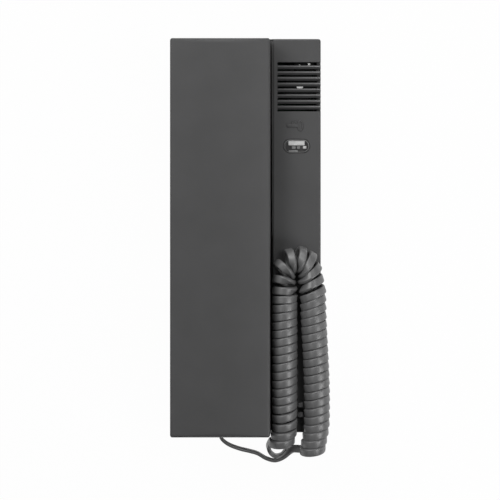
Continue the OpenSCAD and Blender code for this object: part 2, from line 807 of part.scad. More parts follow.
module earpiece() color("darkslategray") {
    translate([handset_mid_x, ear_y, spigot_z + gasket_t]) rotate_extrude() polygon([
        [0, 0], [earpiece_r, 0], [earpiece_r, earpiece_h * 0.5], [earpiece_r - 2, earpiece_h * 0.5],
        [earpiece_r - 2, earpiece_h * 0.75], [earpiece_r * 0.55, earpiece_h * 0.75],
        [earpiece_r * 0.55, earpiece_h], [0, earpiece_h]]);
}

module microphone_boot() color("black") {
    translate([handset_mid_x, mouth_y, spigot_z]) difference() {
        cylinder(r = mic_r + boot_wall, h = boot_floor + mic_h);
        translate([0, 0, boot_floor]) cylinder(r = mic_r + slip_gap, h = mic_h + over);
        translate([0, 0, -over]) cylinder(r = boot_hole_r, h = boot_floor + 2 * over);
    }
}

module microphone() color("silver")
    translate([handset_mid_x, mouth_y, spigot_z + boot_floor]) rotate_extrude() polygon([
        [0, 0], [mic_r - 0.4, 0], [mic_r, 0.4], [mic_r, mic_h - 0.4], [mic_r - 0.4, mic_h], [0, mic_h]]);

module handset_grommet() color("black")
    translate([handset_gland_x, handset_y0, handset_gland_z]) rotate([-90, 0, 0]) gland(handset_wall, 0);

// Curly cord

function unit(v) = v / norm(v);

function ease(t) = let (u = min(max(t, 0), 1)) u * u * (3 - 2 * u);

// Inner side of the bend: up one side of a narrow hairpin and down the other
function hairpin(s) = let (
    d = s * hairpin_l,
    a = 180 - 180 * min(max((d - hairpin_run) / hairpin_arc, 0), 1),
    up = min(d, hairpin_l - d, hairpin_run)
) [bend_mid_x - bend_shift + hairpin_r * cos(a), bend_y + up + hairpin_r * sin(a)];

// Outer side of the bend: a smooth curve through the tips of its curls
function crown_point(s) = [bend_mid_x, bend_y] + curve_point(crown_tips, 1 + bend_turns * s);

// How much higher the outer side of a curl lies, n curls from the bend
function lean_by(s, n) = let (
    most = left_lean + (right_lean - left_lean) * s,
    turns = left_lean_turns + (right_lean_turns - left_lean_turns) * s
) most * pow(max(1 - n / turns, 0), 2);

// Inner and outer point of a curl, its share of the bend's roll and its number of curls from the bend
function rails(turn) = let (
    left = turn < left_turns,
    n = left ? left_turns - turn : max(turn - left_turns - bend_turns, 0),
    s = min(max((turn - left_turns) / bend_turns, 0), 1),
    share = ease(1 - n),
    drawn = left ? slack * ease((n - tight_turns) / slack_turns) : 0,
    swing = swing_in * ease((n - right_turns) / swing_turns + 1),
    bow = left ? 0 : leg_bow * pow(sin(180 * n / bow_turns), 2) - swing,
    down = [bow, -coil_pitch * n - drawn],
    lean = [0, lean_by(s, n)],
    side = left ? -1 : 1,
    leg = [left ? left_leg_x : right_leg_x, bend_y],
    leg_inner = leg - [side * coil_r, 0],
    leg_outer = leg + [side * coil_r, 0] + lean,
    inner = leg_inner + (hairpin(s) - leg_inner) * share - lean,
    outer = leg_outer + (crown_point(s) - leg_outer) * share
) [inner + down, outer + down, share, n];

// Direction from the middle of a curl to its front; the curls tilt more towards the ends
function upward(n) = let (tilt = tilt_at_bend + (tilt_at_ends - tilt_at_bend) * n / right_turns)
    [0, -sin(tilt), cos(tilt)];

// Middle of the cord at a number of turns from the start
function strand(turn) = let (
    r = rails(turn),
    flat = (r[0] + r[1]) / 2 + (r[1] - r[0]) / 2 * cos(360 * turn)
) [flat.x, flat.y, coil_z + bend_lift * r[2]] + upward(r[3]) * coil_r * sin(360 * turn);

function strand_dir(turn) = unit(strand(turn + 0.001) - strand(turn - 0.001));

// Directions across the band at a turn: its thickness, turned on edge inside the bend, and its width
function band_axes(turn) = let (
    r = rails(turn),
    out = unit(r[1] - r[0]),
    dir = strand_dir(turn),
    spoke = [out.x, out.y, 0] * cos(360 * turn) + upward(r[3]) * sin(360 * turn),
    flat = unit(spoke - dir * (spoke * dir)),
    wide = cross(dir, flat),
    roll = inner_roll * r[2] * pow((1 - cos(360 * turn)) / 2, roll_power)
) [flat * cos(roll) + wide * sin(roll), wide * cos(roll) - flat * sin(roll)];

// Outlines of the flat cord with rounded edges, as shares of its thickness and width
six_sides = [[-0.5, -0.3], [-0.5, 0.3], [0, 0.5], [0.5, 0.3], [0.5, -0.3], [0, -0.5]];
eight_sides = [
    [-0.5, -0.3], [-0.5, 0.3], [-0.25, 0.5], [0.25, 0.5], [0.5, 0.3], [0.5, -0.3], [0.25, -0.5], [-0.25, -0.5]];

function band_ring(p, axes, sides) =
    [for (c = sides) p + axes[0] * c.x * band_t + axes[1] * c.y * band_w];

// A closed tube through a list of rings
module tube(rings) {
    m = len(rings[0]);
    last = (len(rings) - 1) * m;
    polyhedron(
        points = [for (ring = rings) each ring],
        faces = concat(
            [for (j = [1:m - 2]) [0, j, j + 1]],
            [for (j = [1:m - 2]) [last, last + j + 1, last + j]],
            [for (i = [0:m:last - 1], j = [0:m - 1]) [i + j, i + m + j, i + (j + 1) % m]],
            [for (i = [0:m:last - 1], j = [0:m - 1]) [i + m + j, i + m + (j + 1) % m, i + (j + 1) % m]]));
}

coil_rings = concat(
    [band_ring(coil_start, band_axes(0), six_sides)],
    [for (k = [0:total_turns * rings_per_turn]) let (turn = k / rings_per_turn)
        band_ring(strand(turn), band_axes(turn), six_sides)],
    [band_ring(coil_end, band_axes(total_turns), six_sides)]);

// Least distance between points of curls that are over half a turn apart
function ring_gap(a, b) = min([for (p = a, q = b) norm(p - q)]);
function least_gap(rings) = let (last = len(rings) - 1, near = 2 * band_w) min(
    [for (i = [0:last], j = [i + rings_per_turn / 2 + 1:last])
        if (norm(rings[i][0] - rings[j][0]) < near) ring_gap(rings[i], rings[j])]);

module cord_coil() color("gray") {
    echo(str("least gap of the curly cord to itself: ", least_gap(coil_rings), " mm"));
    tube(coil_rings);
}

// Point of a smooth curve through a list of points, at a place counted in points
function curve_point(points, place) = let (
    k = min(floor(place), len(points) - 3),
    t = place - k,
    p0 = points[k - 1], p1 = points[k], p2 = points[k + 1], p3 = points[k + 2]
) p1 + (p2 - p0) * t / 2 + (2 * p0 - 5 * p1 + 4 * p2 - p3) * t * t / 2
    + (3 * p1 - p0 - 3 * p2 + p3) * t * t * t / 2;

// A free end along its route: the band turns from one width direction to the other between two shares of it
module cord_tail(route, first_wide, last_wide, turn_from, turn_to) {
    end = len(route) - 1;
    last = (end - 2) * tail_steps;
    line = [for (k = [0:last]) curve_point(route, 1 + k / tail_steps)];
    tube([for (k = [0:last]) let (
        dir = k == 0 ? unit(route[1] - route[0]) : k == last ? unit(route[end] - route[end - 1])
            : unit(line[k + 1] - line[k - 1]),
        hint = first_wide + (last_wide - first_wide) * ease((k / last - turn_from) / (turn_to - turn_from)),
        wide = unit(hint - dir * (hint * dir))
    ) band_ring(line[k], [cross(wide, dir), wide], eight_sides)]);
}

module cord_tail_base() color("gray")
    cord_tail(base_route, [0, 0, 1], band_axes(0)[1], 0.8, 1);

module cord_tail_handset() color("gray")
    cord_tail(handset_route, band_axes(total_turns)[1], [0, 0, 1], 0, 0.4);

// Return spring round the hook switch
module hook_spring() color("silver") {
    low = board_top_z + spring_wire / 2 + 0.05;
    rise = plunger_flange_z - board_top_z - spring_wire - 0.1;
    steps = spring_turns * 16;
    tube([for (k = [0:steps]) let (
        a = 360 * spring_turns * k / steps,
        out = [cos(a), sin(a), 0],
        p = [plunger_x, plunger_y, low + rise * k / steps] + spring_r * out
    ) [for (c = [0:60:300]) p + spring_wire / 2 * (out * cos(c) + [0, 0, sin(c)])]]);
}

back_plate();
front_cover();
cover_screw();
circuit_board();
terminal_block();
terminal_screws();
sounder_holder();
call_sounder();
sounder_disc();
hook_switch();
hook_spring();
hook_plunger();
door_switch();
door_led();
button_carrier();
button_insert();
door_button();
base_grommet();
handset_shell();
handset_back();
handset_screws();
handset_weight();
ear_cap();
earpiece_gasket();
earpiece();
mouth_cap();
microphone_boot();
microphone();
handset_grommet();
cord_tail_base();
cord_coil();
cord_tail_handset();
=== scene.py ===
"""Looks of a wall-mounted audio door-entry phone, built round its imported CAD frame."""

import math

import bmesh
import bpy
from bpy.props import FloatProperty, FloatVectorProperty, IntProperty, PointerProperty
from mathutils import Matrix, Vector


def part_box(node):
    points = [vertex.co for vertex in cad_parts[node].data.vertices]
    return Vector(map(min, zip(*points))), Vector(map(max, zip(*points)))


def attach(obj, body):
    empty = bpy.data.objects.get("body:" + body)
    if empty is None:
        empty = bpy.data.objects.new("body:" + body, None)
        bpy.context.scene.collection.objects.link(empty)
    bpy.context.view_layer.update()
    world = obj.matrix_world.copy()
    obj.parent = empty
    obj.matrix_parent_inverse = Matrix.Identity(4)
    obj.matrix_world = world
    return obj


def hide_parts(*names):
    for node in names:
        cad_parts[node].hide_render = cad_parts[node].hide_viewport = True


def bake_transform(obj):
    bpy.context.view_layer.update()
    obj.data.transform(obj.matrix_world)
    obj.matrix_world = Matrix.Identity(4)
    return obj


bl_info = {
    "name": "Door Entry Phone",
    "version": (1, 0, 0),
    "blender": (4, 5, 0),
    "location": "View3D > Sidebar > Door Phone",
    "description": "Dresses the CAD frame of a wall door-entry phone with a curly cord",
    "category": "Object",
}

MM = 0.001

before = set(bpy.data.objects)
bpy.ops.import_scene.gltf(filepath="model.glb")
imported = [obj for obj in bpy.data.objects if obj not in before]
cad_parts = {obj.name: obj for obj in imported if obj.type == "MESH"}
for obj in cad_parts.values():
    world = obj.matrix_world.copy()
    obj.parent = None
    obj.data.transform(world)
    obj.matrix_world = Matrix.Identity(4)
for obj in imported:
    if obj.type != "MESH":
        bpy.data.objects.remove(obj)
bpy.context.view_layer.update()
shell_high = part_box("handset_shell")[1]
cover_low, cover_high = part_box("front_cover")
lens_low, lens_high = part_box("door_button")
bar_low, bar_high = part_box("button_insert")

# Front of the strip beside the handset, which carries the grille, the key sign and the button
STRIP_HEIGHT = 27 * MM
strip_face = cover_low.z + STRIP_HEIGHT


# Sizes and colours


def length(name, description, default):
    """A size in metres that a user may change."""
    return FloatProperty(name=name, description=description, default=default, unit="LENGTH", precision=5)


def colour(name, description, default):
    """A colour that a user may change."""
    return FloatVectorProperty(
        name=name, description=description, default=default, subtype="COLOR", min=0, max=1)


def lamp_power(name, description, default):
    """A lamp's power that a user may change."""
    return FloatProperty(name=name, description=description, default=default, unit="POWER")


def slant(name, description, degrees):
    """An angle that a user may change, given in degrees."""
    return FloatProperty(name=name, description=description, default=math.radians(degrees), subtype="ANGLE")


def number(name, description, default):
    """A share, a strength or a number of curls that a user may change."""
    return FloatProperty(name=name, description=description, default=default)


def tally(name, description, default):
    """A whole number that a user may change."""
    return IntProperty(name=name, description=description, default=default)


class PhoneStageSettings(bpy.types.PropertyGroup):
    camera_x: length("Camera X", "Place of the camera across the phone", 2.5 * MM)
    camera_y: length("Camera Y", "Place of the camera along the phone", -7.1 * MM)
    camera_height: length("Camera height", "Height of the camera above the handset's front", 1.35)
    view_width: length("View width", "Width of the picture at the handset's front", 270 * MM)
    clip_start: length("Clip start", "Nearest distance that the camera sees", 10 * MM)
    sky: number("Sky", "Strength of the even light from all round", 0.06)
    key_lamp: lamp_power("Key lamp", "Power of the large lamp beyond the top left corner", 4.1)
    foot_lamp: lamp_power("Foot lamp", "Power of the large lamp high on the left near the foot", 1.1)
    top_lamp: lamp_power("Top lamp", "Power of the low lamp beyond the top end", 0.5)
    high_lamp: lamp_power("High lamp", "Power of the near lamp high on the right", 0.57)
    near_lamp: lamp_power("Near lamp", "Power of the near lamp at the lower right", 0.65)
    side_lamp: lamp_power("Side lamp", "Power of the low lamp far on the right", 0.45)
    floor_reach: length("Floor reach", "From the middle of the floor to its sides", 40)
    floor_white: number("Floor white", "Share of plain white in the floor where it is seen directly", 0.975)


class PhoneCordSettings(bpy.types.PropertyGroup):
    band_width: length("Band width", "Width of the flat cord", 4.28 * MM)
    band_thickness: length("Band thickness", "Thickness of the flat cord", 2.3 * MM)
    band_edge: length("Band edge", "Radius of the band's edges", 0.7 * MM)
    coil_radius: length("Coil radius", "From the coil's axis to the middle of the cord", 5.75 * MM)
    coil_height: length("Coil height", "Height of the coil's axis above the wall", 34.15 * MM)
    pitch: length("Pitch", "Rise of one curl beside the handset", 4.5 * MM)
    right_pitch: length("Right pitch", "Rise of one curl of the outer leg", 4.46 * MM)
    left_x: length("Left leg", "Place of the leg beside the handset", 21.4 * MM)
    spread: length("Spread", "Distance between the two legs", 15.35 * MM)
    bend_y: length("Bend", "Where the legs go over into the bend", -25.7 * MM)
    left_lean: length("Left lean", "Lean of the curls of the left leg beside the bend", 1.6 * MM)
    right_lean: length("Right lean", "Lean of the curls of the right leg beside the bend", 2.4 * MM)
    left_kept_lean: length("Left kept lean", "Lean of the curls along the left leg", -0.6 * MM)
    right_kept_lean: length("Right kept lean", "Lean of the curls along the right leg", 0.95 * MM)
    bend_shift: length("Bend shift", "How far the bend's inner side lies towards the handset", 1 * MM)
    hairpin_radius: length("Hairpin", "Radius of the bend's inner side", 2.6 * MM)
    hairpin_pitch: length("Hairpin pitch", "Distance between curls at the bend's inner side", 3.3 * MM)
    bend_lift: length("Bend lift", "How much higher the bend lies than the legs", 0.4 * MM)
    leg_bow: length("Leg bow", "How far the outer leg bows out", 2.3 * MM)
    swing_in: length("Swing in", "How far the last curls of the outer leg swing back", 1.6 * MM)
    foot_swing: length("Foot swing", "How far the lowest curl beside the handset swings towards it", 1.5 * MM)
    slack: length("Slack", "How much the lower curls beside the handset are drawn out in all", 1.5 * MM)
    end_squeeze: length("End squeeze", "How much closer the last curls of each leg lie in all", 0.5 * MM)
    end_lead: length("End lead", "Straight run at each end of the coil", 4 * MM)
    gland_lead: length("Gland lead", "Run that sets the direction of a free end at its gland", 3 * MM)
    entry_gap: length("Entry gap", "Gap between the end at the handset and its gland", 0.3 * MM)
    left_turns: tally("Left curls", "Curls in the leg beside the handset", 19)
    bend_turns: tally("Bend curls", "Curls in the bend", 6)
    right_turns: number("Right curls", "Curls in the outer leg", 20.5)
    left_lean_turns: tally("Left leaning curls", "Curls of the left leg that lean with the bend", 7)
    right_lean_turns: tally("Right leaning curls", "Curls of the right leg that lean with the bend", 6)
    lean_change: number("Lean change", "Curls over which the lean of a leg comes in", 3)
    lean_fade: number("Lean fade", "Curls over which the lean of a leg goes at its end", 5)
    bow_turns: tally("Bow curls", "Curls over which the outer leg bows", 29)
    swing_turns: number("Swinging curls", "Curls that swing back", 3.5)
    foot_turns: number("Foot curls", "Curls that swing towards the handset", 2)
    squeeze_turns: number("Squeezed curls", "Curls of the outer leg that lie closer", 3)
    tight_turns: number("Tight curls", "Curls of the left leg above the slack ones", 14.5)
    slack_turns: number("Slack curls", "Curls of the left leg that are drawn out", 3.5)
    tilt_at_bend: slant("Tilt at bend", "Forward tilt of the curls beside the bend", 6)
    left_end_tilt: slant("Left end tilt", "Forward tilt of the last curls beside the handset", 22)
    right_end_tilt: slant("Right end tilt", "Forward tilt of the last curls of the outer leg", 16)
    tail_twist: number("Tail twist", "Share of the end at the handset over which it twists", 0.4)
    tail_flatness: number("Tail flatness", "Thickness of the end at the handset, as a share", 0.76)
    rings_per_turn: tally("Rings", "Rings of the mesh in one curl", 24)


class PhoneSignSettings(bpy.types.PropertyGroup):
    above_button: length("Above button", "From the middle of the button to the key's shaft", 11.2 * MM)
    bow_shift: length("Bow shift", "From the middle of the button to the middle of the bow", 2 * MM)
    bow_width: length("Bow width", "Width of the key's bow", 3.6 * MM)
    bow_height: length("Bow height", "Height of the key's bow", 6.2 * MM)
    bow_band: length("Bow band", "Breadth of the ring round the bow", 0.95 * MM)
    shaft_length: length("Shaft length", "Length of the key's shaft", 6 * MM)
    shaft_width: length("Shaft width", "Width of the key's shaft", 1.9 * MM)
    far_tooth: length("Far tooth", "From the bow to the tooth at the key's tip", 3.6 * MM)
    near_tooth: length("Near tooth", "From the bow to the tooth next to it", 1.5 * MM)
    tooth_width: length("Tooth width", "Width of a tooth", 0.9 * MM)
    tooth_reach: length("Tooth reach", "From the middle of the shaft to the tip of a tooth", 2.7 * MM)
    tooth_root: length("Tooth root", "How far a tooth goes into the shaft", 0.1 * MM)
    relief: length("Relief", "Height of the sign above the strip", 0.5 * MM)
    edge_radius: length("Edge radius", "Radius of the sign's front edges", 0.35 * MM)


class PhoneGrilleSettings(bpy.types.PropertyGroup):
    louvres: tally("Louvres", "Number of louvre edges", 8)
    pitch: length("Pitch", "Distance from one louvre to the next", 3.15 * MM)
    inset: length("Inset", "Distance from the top of the base to the first louvre edge", 14.45 * MM)
    edge_reach: length("Edge reach", "From the outer side to the far end of a louvre edge", 23.7 * MM)
    end_gap: length("End gap", "Distance from the louvre edges to the outer side", 0.15 * MM)
    edge_width: length("Edge width", "Width of the front edge of a louvre", 1.1 * MM)
    edge_depth: length("Edge depth", "Depth of the front edge of a louvre", 0.8 * MM)
    edge_radius: length("Edge radius", "Radius of the front edge of a louvre", 0.42 * MM)


class PhoneGrooveSettings(bpy.types.PropertyGroup):
    strip_left: length("Strip", "Where the strip begins beside the handset", 14.75 * MM)
    depth: length("Depth", "Height of the rib at the top of the groove and of the lip", 6 * MM)
    edge: length("Edge", "Edge radius of the rib and its step back from the strip", 0.15 * MM)
    lip_reach: length("Lip reach", "How far the lip narrows the groove at its upper end", 0.42 * MM)
    lip_run: length("Lip run", "Length over which the lip of the strip runs out", 108 * MM)
    lip_edge: length("Lip edge", "Radius of the lip's edges", 0.05 * MM)


class PhoneButtonSettings(bpy.types.PropertyGroup):
    shoulder: length("Shoulder", "Step from the flange to the clear body", 1.5 * MM)
    flange: length("Flange", "Thickness of the flange", 1.2 * MM)
    wall: length("Wall", "Wall of the clear body", 0.5 * MM)
    roof: length("Roof", "Thickness of the clear front", 1.4 * MM)
    rim: length("Rim", "Radius of the front edge", 0.9 * MM)
    reflector_edge: length("Reflector edge", "Radius of the reflector's edges", 0.35 * MM)
    pip_height: length("Pip height", "Height of the pips under the lens, seen from the front", 1.4 * MM)
    pip_edge: length("Pip edge", "Radius of the pips' edges", 0.3 * MM)


class PhoneFinishSettings(bpy.types.PropertyGroup):
    handset: colour("Handset", "Moulded plastic of the handset", (0.0675, 0.0675, 0.0685))
    base: colour("Base", "Moulded plastic of the base", (0.064, 0.064, 0.065))
    cord: colour("Cord", "Sheath of the curly cord", (0.125, 0.125, 0.126))
    # Painted highlight: the louvre edges are a lighter copy of the base plastic, standing in for the light
    # caught on their rounded edges; their gloss is real
    louvre_painted_highlight: colour("Louvre edges", "Polished front edges of the louvres", (0.13, 0.13, 0.131))
    carrier: colour("Carrier", "Plastic under the clear button", (0.14, 0.14, 0.14))
    dark: colour("Dark plastic", "Inner plastic pieces", (0.01, 0.01, 0.01))
    rubber: colour("Rubber", "Glands, gasket and boot", (0.015, 0.015, 0.015))
    board: colour("Board", "Lacquer of the circuit board", (0.004, 0.02, 0.01))
    pale: colour("Pale plastic", "Reflector and lamp under the lens, and the sounder's disc", (0.95, 0.95, 0.94))
    contact: colour("Contacts", "Grey pips under the lens", (0.7, 0.7, 0.7))
    plating: colour("Bright plating", "Terminal screws and microphone", (0.9, 0.9, 0.88))
    zinc: colour("Zinc", "Plating of the other screws and the spring", (0.55, 0.55, 0.56))
    weight: colour("Weight", "Cast weight in the grip", (0.2, 0.2, 0.2))
    handset_edge: length("Handset edge", "Radius to which the handset's edges are softened", 2.2 * MM)
    base_edge: length("Base edge", "Radius to which the base's edges are softened", 0.5 * MM)
    # Painted light: the reflector and the lamp under the lens glow with this strength; the reflector is no lamp,
    # and its glow brightens it beyond what the lamps give
    reflector_painted_glow: number("Reflector glow", "Light of the lamp behind the reflector", 0.2)
    # Painted reflection: the sounder's disc glows, though it is no lamp, in place of the light that it would
    # throw back
    disc_painted_reflection: number("Disc glow", "Light that the sounder's disc throws back", 0.3)


# Materials

# Positions of the darkest and the lightest tone of a pattern
TONE_LOW, TONE_HIGH = 0.3, 0.7
# How far the roughness of moulded plastic goes to either side
ROUGH_SPREAD = 0.06
# How far the roughness of metal goes to either side, as a share
WEAR_SPREAD = 0.3


class Surface:
    """A material, its principled shader and the patterns on object coordinates that the finishes share."""

    def __init__(self, name):
        self.material = bpy.data.materials.new(name)
        self.material.use_nodes = True
        self.nodes = self.material.node_tree.nodes
        self.links = self.material.node_tree.links
        self.shader = self.nodes["Principled BSDF"]

    def set(self, socket, value):
        """Gives an input of the shader a constant."""
        self.shader.inputs[socket].default_value = value

    def feed(self, socket, output):
        """Joins a pattern to an input of the shader."""
        self.links.new(output, self.shader.inputs[socket])

    def noise(self, scale, detail):
        """A noise pattern on object coordinates."""
        coords = self.nodes.new("ShaderNodeTexCoord")
        texture = self.nodes.new("ShaderNodeTexNoise")
        texture.inputs["Scale"].default_value = scale
        texture.inputs["Detail"].default_value = detail
        self.links.new(coords.outputs["Object"], texture.inputs["Vector"])
        return texture.outputs["Fac"]

    def shaded(self, factor, tint, spread):
        """A colour that goes a little darker and lighter with a pattern."""
        ramp = self.nodes.new("ShaderNodeValToRGB")
        low, high = ramp.color_ramp.elements
        low.position, high.position = TONE_LOW, TONE_HIGH
        low.color = [c * (1 - spread) for c in tint] + [1]
        high.color = [min(c * (1 + spread), 1) for c in tint] + [1]
        self.links.new(factor, ramp.inputs["Fac"])
        return ramp.outputs["Color"]

    def between(self, factor, low, high):
        """A number that goes from low to high with a pattern."""
        span = self.nodes.new("ShaderNodeMapRange")
        span.inputs["To Min"].default_value = low
        span.inputs["To Max"].default_value = high
        self.links.new(factor, span.inputs["Value"])
        return span.outputs["Result"]

    def bump(self, factor, strength, distance, edge=0):
        """Surface relief from a pattern, on edges softened to a radius."""
        relief = self.nodes.new("ShaderNodeBump")
        if edge:
            softened = self.nodes.new("ShaderNodeBevel")
            softened.inputs["Radius"].default_value = edge
            self.links.new(softened.outputs["Normal"], relief.inputs["Normal"])
        relief.inputs["Strength"].default_value = strength
        relief.inputs["Distance"].default_value = distance
        self.links.new(factor, relief.inputs["Height"])
        self.feed("Normal", relief.outputs["Normal"])

    def mix(self, factor, first, second):
        """Makes the surface a mixture of two shaders."""
        mixture = self.nodes.new("ShaderNodeMixShader")
        self.links.new(factor, mixture.inputs["Fac"])
        self.links.new(first, mixture.inputs[1])
        self.links.new(second, mixture.inputs[2])
        self.links.new(mixture.outputs["Shader"], self.nodes["Material Output"].inputs["Surface"])


def moulded_plastic(name, tint, rough, shine=0.5, edge=0, glow=0):
    """Moulded plastic with a fine spark-eroded grain, slight clouding and edges softened to a radius."""
    surface = Surface(name)
    cloud = surface.noise(scale=60, detail=3)
    fine = surface.noise(scale=1500, detail=2)
    surface.set("Specular IOR Level", shine)
    # A glow, where one is given, is painted light: the piece shines though it is no lamp
    surface.set("Emission Strength", glow)
    surface.feed("Base Color", surface.shaded(cloud, tint, spread=0.05))
    surface.feed("Roughness", surface.between(fine, rough - ROUGH_SPREAD, rough + ROUGH_SPREAD))
    surface.bump(fine, strength=0.25, distance=0.04 * MM, edge=edge)
    return surface.material


def bright_metal(name, tint, rough):
    """Plated metal with faint wear."""
    surface = Surface(name)
    wear = surface.noise(scale=400, detail=4)
    surface.set("Metallic", 1)
    surface.feed("Base Color", surface.shaded(wear, tint, spread=0.06))
    surface.feed("Roughness", surface.between(wear, rough * (1 - WEAR_SPREAD), rough * (1 + WEAR_SPREAD)))
    surface.bump(wear, strength=0.2, distance=0.03 * MM)
    return surface.material


def cord_sheath(tint):
    """Soft sheath of the cord with a satin skin."""
    surface = Surface("cord_sheath")
    cloud = surface.noise(scale=120, detail=3)
    fine = surface.noise(scale=1800, detail=2)
    surface.set("Specular IOR Level", 0.9)
    surface.feed("Base Color", surface.shaded(cloud, tint, spread=0.07))
    surface.feed("Roughness", surface.between(fine, low=0.32, high=0.46))
    surface.bump(fine, strength=0.15, distance=0.03 * MM)
    return surface.material


def clear_plastic(name):
    """Thin clear plastic: seen straight through, with a gloss that grows towards its edges."""
    surface = Surface(name)
    haze = surface.noise(scale=500, detail=2)
    surface.set("Base Color", (0.6, 0.6, 0.6, 1))
    surface.feed("Roughness", surface.between(haze, low=0.06, high=0.14))
    surface.bump(haze, strength=0.1, distance=0.02 * MM)
    clear = surface.nodes.new("ShaderNodeBsdfTransparent")
    surface.links.new(surface.shaded(haze, (0.9, 0.9, 0.9), spread=0.03), clear.inputs["Color"])
    facing = surface.nodes.new("ShaderNodeLayerWeight")
    facing.inputs["Blend"].default_value = 0.6
    surface.mix(facing.outputs["Facing"], clear.outputs["BSDF"], surface.shader.outputs["BSDF"])
    return surface.material


def white_floor(white):
    """White floor that keeps a faint shadow."""
    surface = Surface("white_floor")
    surface.set("Base Color", (0.8, 0.8, 0.8, 1))
    surface.set("Roughness", 0.9)
    glow = surface.nodes.new("ShaderNodeEmission")
    seen = surface.between(seen_directly(surface), 0, white)
    surface.mix(seen, surface.shader.outputs["BSDF"], glow.outputs["Emission"])
    return surface.material


def seen_directly(surface):
    """One for rays from the camera, from mirrors and through glass, and zero for the rest."""
    path = surface.nodes.new("ShaderNodeLightPath")
    seen = path.outputs["Is Camera Ray"]
    for kind in ("Is Glossy Ray", "Is Transmission Ray"):
        either = surface.nodes.new("ShaderNodeMath")
        either.operation = "MAXIMUM"
        surface.links.new(seen, either.inputs[0])
        surface.links.new(path.outputs[kind], either.inputs[1])
        seen = either.outputs[0]
    return seen


# Mesh helpers

# Points nearer to each other than this are joined
JOIN_DISTANCE = 0.02 * MM
# How far a level face may lie from the height at which it is looked for
LEVEL_GAP = 0.01 * MM
# Least upward part of the normal of a face that counts as level
LEVEL_NORMAL = 0.9
# Share of a full half-round to which the ends of a stadium are rounded
ROUND_SHARE = 0.999


def finish_piece(name, bm, material, body, smooth_angle=30):
    """Turns a bmesh into a piece that rides on a body of the frame, if one is given."""
    mesh = bpy.data.meshes.new(name)
    bm.to_mesh(mesh)
    bm.free()
    piece = bpy.data.objects.new(name, mesh)
    bpy.context.scene.collection.objects.link(piece)
    mesh.materials.append(material)
    mesh.shade_smooth()
    mesh.set_sharp_from_angle(angle=math.radians(smooth_angle))
    if body:
        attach(piece, body)
    return piece


def dress(material, *nodes):
    """Gives CAD nodes a material."""
    for node in nodes:
        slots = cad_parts[node].data.materials
        slots.clear()
        slots.append(material)


def bevel(bm, geom, radius, segments, affect="EDGES"):
    """Rounds edges, or the corners of a flat outline."""
    bmesh.ops.bevel(
        bm, geom=geom, offset=radius, offset_type="OFFSET", affect=affect,
        segments=segments, profile=0.5, material=-1, clamp_overlap=True)


def edges_of(verts):
    """Every edge that ends at one of the points, once."""
    return list(dict.fromkeys(edge for vert in verts for edge in vert.link_edges))


def block(bm, low, high):
    """A plain block between two corners."""
    made = bmesh.ops.create_cube(bm, size=1)["verts"]
    bmesh.ops.scale(bm, vec=high - low, verts=made)
    bmesh.ops.translate(bm, vec=(low + high) / 2, verts=made)
    return made


def soft_block(bm, low, high, radius):
    """A block with rounded edges between two corners."""
    bevel(bm, edges_of(block(bm, low, high)), radius, segments=3)


def stadium(bm, low, high):
    """A block with half-round ends between two corners."""
    rise = (high.z - low.z) / 2
    upright = [edge for edge in edges_of(block(bm, low, high))
               if abs(edge.verts[0].co.z - edge.verts[1].co.z) > rise]
    bevel(bm, upright, (high.y - low.y) / 2 * ROUND_SHARE, segments=14)
    bmesh.ops.remove_doubles(bm, verts=bm.verts, dist=JOIN_DISTANCE)


def level_face(bm, height, upward):
    """The largest face at a height that looks up or down."""
    found = [face for face in bm.faces if abs(face.calc_center_median().z - height) < LEVEL_GAP
             and face.normal.z * upward > LEVEL_NORMAL]
    return max(found, key=lambda face: face.calc_area())


# Curly cord, with the tips of the bend's curls and the routes of the free ends in millimetres

CROWN_TIPS = (
    (-13.4, -3.2), (-13.2, 2.8), (-12.2, 11.7), (-5.6, 18.3), (2, 19.35), (7.7, 16.4), (10.8, 9.9),
    (12.3, 3.3), (13.4, -2.4))
BASE_ROUTE = (
    (23.5, -113, 9), (22.9, -117.1, 9.2), (20.8, -120.3, 10), (17.4, -121.3, 11.6), (14.5, -119.6, 14.6),
    (13, -117, 18.4), (12.8, -114.6, 22.4))
HANDSET_ROUTE = (
    (26.4, -116.1, 24.6), (24.2, -117.6, 22.2), (20.8, -121, 20.6), (16.3, -122.9, 19.8),
    (11.4, -121.7, 19.4), (6.9, -119.1, 19.6), (2.5, -117.7, 20.2), (-3, -116.3, 21.4), (-8, -114.4, 22.8),
    (-11.4, -112.3, 23.6))

# Part of a curl to either side over which the cord's direction is measured
HEADING_STEP = 0.001
# Rings of a free end from one point of its route to the next
TAIL_RINGS = 6
# Share of its length within which a free end gets its flatness
FLATTENED_BY = 1 / 3
# Angle between the faces of the band that still looks smooth, in degrees
CORD_SMOOTH = 80


def in_metres(points):
    """Points of a list in millimetres, as vectors in metres."""
    return [Vector(point) * MM for point in points]


def clamped(value):
    """A share, kept from 0 to 1."""
    return min(max(value, 0), 1)


def smooth_step(value):
    """Goes softly from 0 to 1."""
    share = clamped(value)
    return share * share * (3 - 2 * share)


def closing(past, whole, turns):
    """Goes softly from 0 to 1 over the last curls of a leg."""
    return smooth_step((past - whole) / turns + 1)


def part_way(first, last, share):
    """A number between two others."""
    return first + (last - first) * share


def curve_point(points, place):
    """Point of a smooth curve through the given points, at a place counted in points."""
    k = min(int(place), len(points) - 3)
    t = place - k
    p0, p1, p2, p3 = points[k - 1:k + 3]
    bend = 2 * p0 - 5 * p1 + 4 * p2 - p3
    return 0.5 * (2 * p1 + (p2 - p0) * t + bend * t ** 2 + (3 * p1 - p0 - 3 * p2 + p3) * t ** 3)


